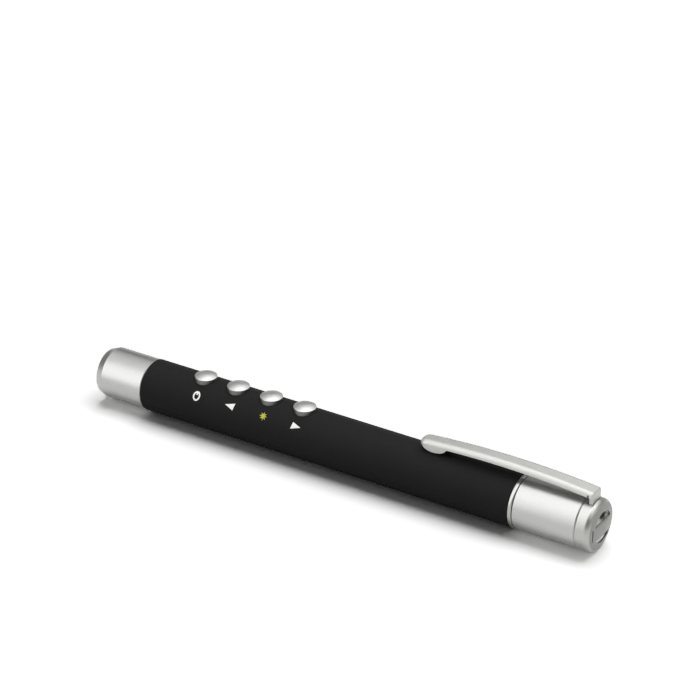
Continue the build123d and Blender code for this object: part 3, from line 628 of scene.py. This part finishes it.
def roll_on(name, flat, material, lift=0.0):
    """Cuts a flat film into strips, thickens it, rolls it on to the tube and shows it."""
    shape = bmesh.new()
    shape.from_mesh(flat)
    heights = [vertex.co.y for vertex in shape.verts]
    cut = min(heights) + strip_width
    while cut < max(heights):
        everything = shape.verts[:] + shape.edges[:] + shape.faces[:]
        bmesh.ops.bisect_plane(shape, geom=everything, plane_co=(0, cut, 0), plane_no=(0, 1, 0))
        cut += strip_width
    bmesh.ops.solidify(shape, geom=shape.faces[:], thickness=film_thickness)
    middle_height = sum(vertex.co.z for vertex in shape.verts) / len(shape.verts)
    for vertex in shape.verts:
        above = vertex.co.z > middle_height
        radius = tube_radius + lift + (film_thickness / 2 if above else -film_thickness / 2)
        turn = vertex.co.y / tube_radius
        sideways = -radius * math.sin(turn)
        vertex.co = (nose_seam_x + vertex.co.x, sideways, axis_height + radius * math.cos(turn))
    open_edges = sum(not edge.is_manifold for edge in shape.edges)
    print(name, "open edges:", open_edges)
    return new_piece(name, to_mesh(name, shape), material, "presenter")


def round_tube(degrees):
    """The distance round the tube, in millimetres, that lies at an angle from its top line."""
    return math.radians(degrees) * tube_radius / mm


# %% [markdown]
# The triangles for back and forward are single polygons. Each corner is given in millimetres from
# the nose seam, and in degrees down from the tube's top line.

# %% Triangle prints
triangles = {
    "back": [(28.16, 49.9), (30.95, 58.2), (31.15, 42.2)],
    "forward": [(52.89, 49.6), (50.16, 42.2), (49.96, 57.4)],
}
for sign, corners in triangles.items():
    flat_corners = [(along, round_tube(degrees)) for along, degrees in corners]
    roll_on("print_" + sign, flat_mesh(sign + "_sign", [flat_corners]), white_ink)

# %% [markdown]
# The blank-screen button's sign is an upright oval outline with a short stroke in it, like a
# computer mouse seen from above. The outline is a strip of small four-sided faces between two
# ovals, and the stroke is one more face.

# %% Oval print
def oval_point(middle_x, middle_y, half_width, half_height, turn):
    """The point of an oval at an angle in radians from its middle."""
    return (middle_x + half_width * math.cos(turn), middle_y + half_height * math.sin(turn))


oval_middle = (18.6, round_tube(51.6))
oval_outside = (1.15, 1.42)
oval_inside = (0.68, 0.9)
oval_steps = 48
stroke_corners = [(-0.2, -0.98), (0.2, -0.98), (0.2, -0.3), (-0.2, -0.3)]
turns = [2 * math.pi * i / oval_steps for i in range(oval_steps + 1)]
outer = [oval_point(*oval_middle, *oval_outside, turn) for turn in turns]
inner = [oval_point(*oval_middle, *oval_inside, turn) for turn in turns]
blank_sign = [[outer[i], outer[i + 1], inner[i + 1], inner[i]] for i in range(oval_steps)]
blank_sign.append([(oval_middle[0] + x, oval_middle[1] + y) for x, y in stroke_corners])
roll_on("print_blank_screen", flat_mesh("blank_sign", blank_sign), white_ink)

# %% [markdown]
# The laser button's sign is a small sun. One ray is drawn, and Geometry Nodes repeats it round a
# point: a radial array, whose number of rays stays a single number that anyone can change. Three
# helpers start such a group, end it and run it, and what comes out is a plain mesh.

# %% Helpers for Geometry Nodes
def start_group(name, sockets):
    """A new Geometry Nodes group and its input sockets: a geometry, the named ones, a material."""
    tree = bpy.data.node_groups.new(name, "GeometryNodeTree")
    tree.interface.new_socket("Geometry", in_out="OUTPUT", socket_type="NodeSocketGeometry")
    tree.interface.new_socket("Geometry", in_out="INPUT", socket_type="NodeSocketGeometry")
    for label, kind in sockets.items():
        tree.interface.new_socket(label, in_out="INPUT", socket_type="NodeSocket" + kind)
    tree.interface.new_socket("Material", in_out="INPUT", socket_type="NodeSocketMaterial")
    return tree, add(tree, "NodeGroupInput").outputs


def end_group(tree, geometry, material):
    """The end of every group: instances become real faces, and the faces take their material."""
    realised = add(tree, "GeometryNodeRealizeInstances", {"Geometry": geometry})
    painted = add(
        tree,
        "GeometryNodeSetMaterial",
        {"Geometry": realised.outputs["Geometry"], "Material": material},
    )
    add(tree, "NodeGroupOutput", {"Geometry": painted.outputs["Geometry"]})
    print("group", tree.name, "has", len(tree.nodes), "nodes")


def run_group(tree, start_mesh, values):
    """Runs a group on a start mesh with the given inputs, and returns the plain mesh it makes."""
    maker = bpy.data.objects.new("maker", start_mesh)
    bpy.context.scene.collection.objects.link(maker)
    modifier = maker.modifiers.new("group", "NODES")
    modifier.node_group = tree
    for socket in tree.interface.items_tree:
        if socket.in_out == "INPUT" and socket.name in values:
            modifier[socket.identifier] = values[socket.name]
    evaluated = maker.evaluated_get(bpy.context.evaluated_depsgraph_get())
    mesh = bpy.data.meshes.new_from_object(evaluated)
    bpy.data.objects.remove(maker)
    print(tree.name, "made", len(mesh.polygons), "faces")
    return mesh


# %% Radial array
radial, given = start_group("radial_array", {"Count": "Int"})
spots = add(radial, "GeometryNodePoints", {"Count": given["Count"]})
share = add(radial, "ShaderNodeMath", {0: 2 * math.pi, 1: given["Count"]}, operation="DIVIDE")
number = add(radial, "GeometryNodeInputIndex")
turn = add(
    radial, "ShaderNodeMath", {0: number.outputs[0], 1: share.outputs[0]}, operation="MULTIPLY"
)
facing = add(radial, "ShaderNodeCombineXYZ", {"Z": turn.outputs[0]})
rays = add(
    radial,
    "GeometryNodeInstanceOnPoints",
    {"Points": spots.outputs[0], "Instance": given["Geometry"], "Rotation": facing.outputs[0]},
)
end_group(radial, rays.outputs["Instances"], given["Material"])

# %% Sun print
sun_middle = (40.77, round_tube(49.7))
ray_count = 8
ray_end = 1.25
ray_foot = 0.35
ray_half_width = 0.2
core_radius = 0.5
core_corners = 24
core_lift = 0.01 * mm
ray_corners = [(ray_foot, -ray_half_width), (ray_end, 0), (ray_foot, ray_half_width)]
one_ray = flat_mesh("one_ray", [ray_corners])
ray_mesh = run_group(radial, one_ray, {"Count": ray_count, "Material": ray_ink})
ray_mesh.transform(Matrix.Translation((sun_middle[0] * mm, sun_middle[1] * mm, 0)))
roll_on("print_laser_rays", ray_mesh, ray_ink)
core_turns = [2 * math.pi * i / core_corners for i in range(core_corners)]
core = [oval_point(*sun_middle, core_radius, core_radius, turn) for turn in core_turns]
roll_on("print_laser_centre", flat_mesh("sun_core", [core]), core_ink, core_lift)

# %% [markdown]
# ## The threaded collar
# Unscrew the tail and the collar's nipple comes into view, with a rolled thread of 1 mm pitch. The
# CAD keeps a plain nipple. Here the collar is turned again with its thread's root cut lower, and
# the ridge is a helix: a spiral curve carrying a small round section, which Geometry Nodes makes
# from the pitch and the number of turns. The collar's own sizes are read from the CAD mesh.

# %% Collar sizes
def radii_between(node, start_x, end_x):
    """How far from the pen's axis a CAD mesh's points lie, between two places along the pen."""
    points = [vertex.co for vertex in frame["nodes"][node].data.vertices]
    return [math.hypot(p.y, p.z - axis_height) for p in points if start_x <= p.x <= end_x]


near = 0.02 * mm
beside_ring = 0.2 * mm
collar_low, collar_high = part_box("threaded_collar")
ring_low, ring_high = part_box("collar_o_ring")
collar_bore = min(radii_between("threaded_collar", collar_low.x, collar_high.x))
spigot_radius = max(radii_between("threaded_collar", collar_low.x, collar_low.x + near))
nipple_radius = max(radii_between("threaded_collar", collar_high.x - near, collar_high.x))
groove_radii = radii_between(
    "threaded_collar", ring_low.x - beside_ring, ring_high.x + beside_ring
)
groove_floor = min(radius for radius in groove_radii if radius > collar_bore + near)
collar_points = [vertex.co for vertex in frame["nodes"]["threaded_collar"].data.vertices]
shoulder_x = max(
    p.x for p in collar_points if math.hypot(p.y, p.z - axis_height) > nipple_radius + near
)
collar_radii = (collar_bore, spigot_radius, nipple_radius, groove_floor)
print("collar radii", [round(radius / mm, 2) for radius in collar_radii], "mm")

# %% Helix group
helix_inputs = {"Turns": "Float", "Pitch": "Float", "Radius": "Float", "Ridge": "Float"}
helix, given = start_group("helical_ridge", helix_inputs)
rise = add(helix, "ShaderNodeMath", {0: given["Turns"], 1: given["Pitch"]}, operation="MULTIPLY")
spiral = add(
    helix,
    "GeometryNodeCurveSpiral",
    {
        "Resolution": 56,
        "Rotations": given["Turns"],
        "Start Radius": given["Radius"],
        "End Radius": given["Radius"],
        "Height": rise.outputs[0],
    },
)
section = add(
    helix, "GeometryNodeCurvePrimitiveCircle", {"Resolution": 8, "Radius": given["Ridge"]}
)
ridge = add(
    helix,
    "GeometryNodeCurveToMesh",
    {
        "Curve": spiral.outputs["Curve"],
        "Profile Curve": section.outputs["Curve"],
        "Fill Caps": True,
    },
)
end_group(helix, ridge.outputs["Mesh"], given["Material"])

# %% Turned collar
collar_steps = 120
ring_edge = 0.2 * mm
groove_slack = 0.05 * mm
land_width = 0.3 * mm
thread_depth = 0.35 * mm
thread_root = nipple_radius - thread_depth
groove_start = ring_low.x - groove_slack
groove_end = ring_high.x + groove_slack
profile = [(collar_bore, collar_low.x), (spigot_radius, collar_low.x), (spigot_radius, tail_seam_x)]
profile += arc(tube_radius - ring_edge, tail_seam_x + ring_edge, ring_edge, -90, 0, 5)
profile += arc(tube_radius - ring_edge, shoulder_x - ring_edge, ring_edge, 0, 90, 5)
profile += [
    (nipple_radius, shoulder_x),
    (nipple_radius, groove_start),
    (groove_floor, groove_start),
    (groove_floor, groove_end),
    (nipple_radius, groove_end),
    (nipple_radius, groove_end + land_width),
    (thread_root, groove_end + 2 * land_width),
    (thread_root, collar_high.x),
    (collar_bore, collar_high.x),
]
turned_collar = lathe(
    "turned_collar",
    profile,
    collar_steps,
    lambda radius, along, turn: (
        along,
        radius * math.cos(turn),
        axis_height + radius * math.sin(turn),
    ),
)
print("collar turned with", len(profile), "points in its profile")

# %% Thread on the collar
thread_pitch = 1.0 * mm
thread_lead = 0.7 * mm
ridge_radius = 0.3 * mm
thread_start = groove_end + thread_lead
ridge_inputs = {
    "Turns": (collar_high.x - thread_start) / thread_pitch - 1,
    "Pitch": thread_pitch,
    "Radius": thread_root,
    "Ridge": ridge_radius,
    "Material": finishes["collar_bright"],
}
ridge_mesh = run_group(helix, bpy.data.meshes.new("no_start"), ridge_inputs)
lay_along_pen = Matrix.Rotation(math.pi / 2, 4, "Y")
to_nipple = Matrix.Translation((thread_start + thread_pitch / 2, 0, axis_height))
ridge_mesh.transform(to_nipple @ lay_along_pen)
joined = bmesh.new()
joined.from_mesh(turned_collar)
joined.from_mesh(ridge_mesh)
joined_mesh = to_mesh("threaded_collar", joined)
collar = new_piece("threaded_collar_turned", joined_mesh, finishes["collar_bright"], "presenter")
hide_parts("threaded_collar")

# %% [markdown]
# ## Legs on the board
# The controller chip and the four switches stand on bent metal legs, which the CAD blocks leave
# out. Legs follow a rule: so many on each side, so far apart. One leg is a bent strip, and Geometry
# Nodes stands a row of them along each side of a part.

# %% Rows of legs
row_inputs = {"Count": "Int", "Spacing": "Float", "Half Width": "Float"}
legs, given = start_group("rows_of_legs", row_inputs)
gaps = add(legs, "ShaderNodeMath", {0: given["Count"], 1: 1.0}, operation="SUBTRACT")
span = add(legs, "ShaderNodeMath", {0: gaps.outputs[0], 1: given["Spacing"]}, operation="MULTIPLY")
first = add(legs, "ShaderNodeMath", {0: span.outputs[0], 1: -0.5}, operation="MULTIPLY")
step = add(legs, "ShaderNodeCombineXYZ", {"X": given["Spacing"]})
both_sides = add(legs, "GeometryNodeJoinGeometry")
for side, facing in ((1.0, 0), (-1.0, math.pi)):
    edge = add(legs, "ShaderNodeMath", {0: given["Half Width"], 1: side}, operation="MULTIPLY")
    start = add(legs, "ShaderNodeCombineXYZ", {"X": first.outputs[0], "Y": edge.outputs[0]})
    row = add(
        legs,
        "GeometryNodeMeshLine",
        {"Count": given["Count"], "Start Location": start.outputs[0], "Offset": step.outputs[0]},
    )
    stood = add(
        legs,
        "GeometryNodeInstanceOnPoints",
        {"Points": row.outputs[0], "Instance": given["Geometry"], "Rotation": (0, 0, facing)},
    )
    legs.links.new(stood.outputs["Instances"], both_sides.inputs[0])
end_group(legs, both_sides.outputs[0], given["Material"])


def bent_leg(name, width, height, reach, thickness):
    """A flat strip that leaves a part's side at a height, bends down and ends flat on the board."""
    half = thickness / 2
    inside_part = -0.1 * mm
    bend_start = 0.4 * reach
    bend_end = 0.55 * reach
    path = [(inside_part, height), (bend_start, height), (bend_end, half), (reach, half)]
    upper = [(y + half / 2, z + half) for y, z in path]
    lower = [(y - half / 2, z - half) for y, z in reversed(path)]
    shape = bmesh.new()
    outline = [shape.verts.new((-width / 2, y, z)) for y, z in upper + lower]
    side = shape.faces.new(outline)
    swept = bmesh.ops.extrude_face_region(shape, geom=[side])["geom"]
    far_points = [item for item in swept if isinstance(item, bmesh.types.BMVert)]
    bmesh.ops.translate(shape, vec=(width, 0, 0), verts=far_points)
    return to_mesh(name, shape)


# %% Legs of the chip and the switches
# How many on a side, then in millimetres their spacing, width, height, reach and thickness.
chip_legs = (8, 0.55, 0.25, 0.45, 0.75, 0.14)
switch_legs = (2, 4.5, 0.7, 0.9, 0.9, 0.2)
legged_parts = {"controller_chip": chip_legs}
for button_name in button_names:
    legged_parts[button_name + "_switch_housing"] = switch_legs
for node, (count, spacing, width, height, reach, thickness) in legged_parts.items():
    low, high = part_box(node)
    leg = bent_leg(node + "_leg", width * mm, height * mm, reach * mm, thickness * mm)
    leg_inputs = {
        "Count": count,
        "Spacing": spacing * mm,
        "Half Width": (high.y - low.y) / 2,
        "Material": finishes["contact_nickel"],
    }
    mesh = run_group(legs, leg, leg_inputs)
    mesh.transform(Matrix.Translation((middle(node).x, middle(node).y, low.z)))
    piece = new_piece(node + "_legs", mesh, finishes["contact_nickel"], "presenter")

# %% [markdown]
# ## The paper sweep
# The pen lies on white paper. Two greys serve it: a middling one for the light that the paper
# throws back on the pen, and one whiter than white for what the camera sees and what metal and
# glass reflect, so the background comes out white with no more light on the pen. Far from the pen
# those rays see plain white, so the paper meets the background without an edge. Near the pen it
# still takes a shadow.

# %% Floor
def background_rays(tree):
    """One where a ray comes from the camera, or off metal, or through glass; else zero."""
    path = add(tree, "ShaderNodeLightPath")
    seen = add(
        tree,
        "ShaderNodeMath",
        {0: path.outputs["Is Camera Ray"], 1: path.outputs["Is Glossy Ray"]},
        operation="MAXIMUM",
    )
    return add(
        tree,
        "ShaderNodeMath",
        {0: seen.outputs["Value"], 1: path.outputs["Is Transmission Ray"]},
        operation="MAXIMUM",
    ).outputs["Value"]


floor_half = 3.0
floor_mesh = bpy.data.meshes.new("floor")
corners = [(x * floor_half, y * floor_half, 0) for x, y in ((-1, -1), (1, -1), (1, 1), (-1, 1))]
floor_mesh.from_pydata(corners, [], [(0, 1, 2, 3)])
floor = bpy.data.objects.new("floor", floor_mesh)
bpy.context.scene.collection.objects.link(floor)
print("floor", 2 * floor_half, "m square")

# %% White paper
paper_grey = 0.6
paper_white = 2.1
fade_start = 0.25
fade_end = 0.7
paper = bpy.data.materials.new("white_paper_sweep")
paper.use_nodes = True
tree = paper.node_tree
tree.nodes.clear()
background = background_rays(tree)
whiteness = add(
    tree,
    "ShaderNodeMix",
    {0: background, 6: (*[paper_grey] * 3, 1), 7: (*[paper_white] * 3, 1)},
    data_type="RGBA",
)
matt = add(tree, "ShaderNodeBsdfDiffuse", {"Color": whiteness.outputs[2]})
place = add(tree, "ShaderNodeTexCoord").outputs["Object"]
reach = add(tree, "ShaderNodeVectorMath", {0: place}, operation="LENGTH").outputs["Value"]
far_away = add(
    tree,
    "ShaderNodeMapRange",
    {"Value": reach, "From Min": fade_start, "From Max": fade_end},
    interpolation_type="SMOOTHSTEP",
).outputs["Result"]
far_share = add(
    tree, "ShaderNodeMath", {0: far_away, 1: background}, operation="MULTIPLY"
).outputs["Value"]
plain_white = add(tree, "ShaderNodeEmission", {"Color": (1, 1, 1, 1), "Strength": 1.0})
sweep = add(
    tree,
    "ShaderNodeMixShader",
    {0: far_share, 1: matt.outputs["BSDF"], 2: plain_white.outputs["Emission"]},
)
add(tree, "ShaderNodeOutputMaterial", {"Surface": sweep.outputs["Shader"]})
floor_mesh.materials.append(paper)
print("paper fades to plain white from", fade_start, "to", fade_end, "m")

# %% [markdown]
# ## The room
# The room is dim, so that the lamps shape the metal. One soft pale wall stands beside the tail and
# gives the silver end something to mirror. Close to the horizon the room is plain white for the
# same rays as the paper, because a low camera looks past the paper's end.

# %% World
room_light = 0.075
wall_direction = (0.84, 0.45, 0.25)
wall_reach = (0.40, 0.55, 0.35)
wall_core = 0.45
wall_light = 0.9
horizon_start = 0.18
horizon_end = 0.06
world = bpy.data.worlds.new("studio")
bpy.context.scene.world = world
world.use_nodes = True
tree = world.node_tree
tree.nodes.clear()
direction = add(tree, "ShaderNodeTexCoord").outputs["Generated"]
off_wall = add(
    tree, "ShaderNodeVectorMath", {0: direction, 1: wall_direction}, operation="SUBTRACT"
)
scaled = add(
    tree,
    "ShaderNodeVectorMath",
    {0: off_wall.outputs[0], 1: [1 / reach for reach in wall_reach]},
    operation="MULTIPLY",
)
distance = add(tree, "ShaderNodeVectorMath", {0: scaled.outputs[0]}, operation="LENGTH")
wall = add(
    tree,
    "ShaderNodeMapRange",
    {
        "Value": distance.outputs["Value"],
        "From Min": 1.0,
        "From Max": wall_core,
        "To Max": wall_light,
    },
    interpolation_type="SMOOTHSTEP",
).outputs["Result"]
room = add(tree, "ShaderNodeMath", {0: room_light, 1: wall}, operation="ADD").outputs["Value"]
height = add(tree, "ShaderNodeSeparateXYZ", {"Vector": direction}).outputs["Z"]
near_horizon = add(
    tree,
    "ShaderNodeMapRange",
    {"Value": height, "From Min": horizon_start, "From Max": horizon_end},
    interpolation_type="SMOOTHSTEP",
).outputs["Result"]
horizon = add(
    tree, "ShaderNodeMath", {0: near_horizon, 1: background_rays(tree)}, operation="MULTIPLY"
).outputs["Value"]
strength = add(tree, "ShaderNodeMix", {0: horizon, 2: room, 3: 1.0}, data_type="FLOAT").outputs[0]
sky = add(tree, "ShaderNodeBackground", {"Color": (1, 1, 1, 1), "Strength": strength})
add(tree, "ShaderNodeOutputWorld", {"Surface": sky.outputs["Background"]})
print("room light", room_light, "and one wall of", wall_light)

# %% [markdown]
# ## The lamps
# Five soft boxes hang round the pen, all at one distance: large ones, because metal shows the
# lamps themselves, and a large lamp is a broad calm highlight. Only the one above and behind lights
# the paper. The other four are linked to skip it, so the pen keeps one clear shadow in front.

# %% Lamps
lamp_distance = 2.5


def add_lamp(name, direction, width, depth, power):
    """A rectangular soft box in a direction from the pen's middle, facing it."""
    target = Vector((0, 0, axis_height))
    data = bpy.data.lights.new(name, "AREA")
    data.shape = "RECTANGLE"
    data.size = width
    data.size_y = depth
    data.energy = power
    lamp = bpy.data.objects.new(name, data)
    bpy.context.scene.collection.objects.link(lamp)
    lamp.location = target + Vector(direction).normalized() * lamp_distance
    lamp.rotation_euler = (target - lamp.location).to_track_quat("-Z", "Y").to_euler()
    print("lamp", name, "of", power, "W")
    return lamp


add_lamp("back_softbox", (0.05, 0.26, 0.96), 2.4, 1.8, 33.0)
pen_lamps = [
    add_lamp("front_softbox", (-0.42, -0.58, 0.70), 1.7, 4.4, 59.0),
    add_lamp("left_softbox", (-0.50, 0.26, 0.83), 2.0, 2.4, 8.0),
    add_lamp("right_softbox", (0.60, -0.08, 0.79), 2.4, 2.0, 18.0),
    add_lamp("rear_softbox", (0.12, 0.74, 0.66), 2.4, 0.9, 9.0),
]
all_but_floor = bpy.data.collections.new("all_but_floor")
all_but_floor.objects.link(floor)
for lamp in pen_lamps:
    lamp.light_linking.receiver_collection = all_but_floor
all_but_floor.collection_objects[0].light_linking.link_state = "EXCLUDE"
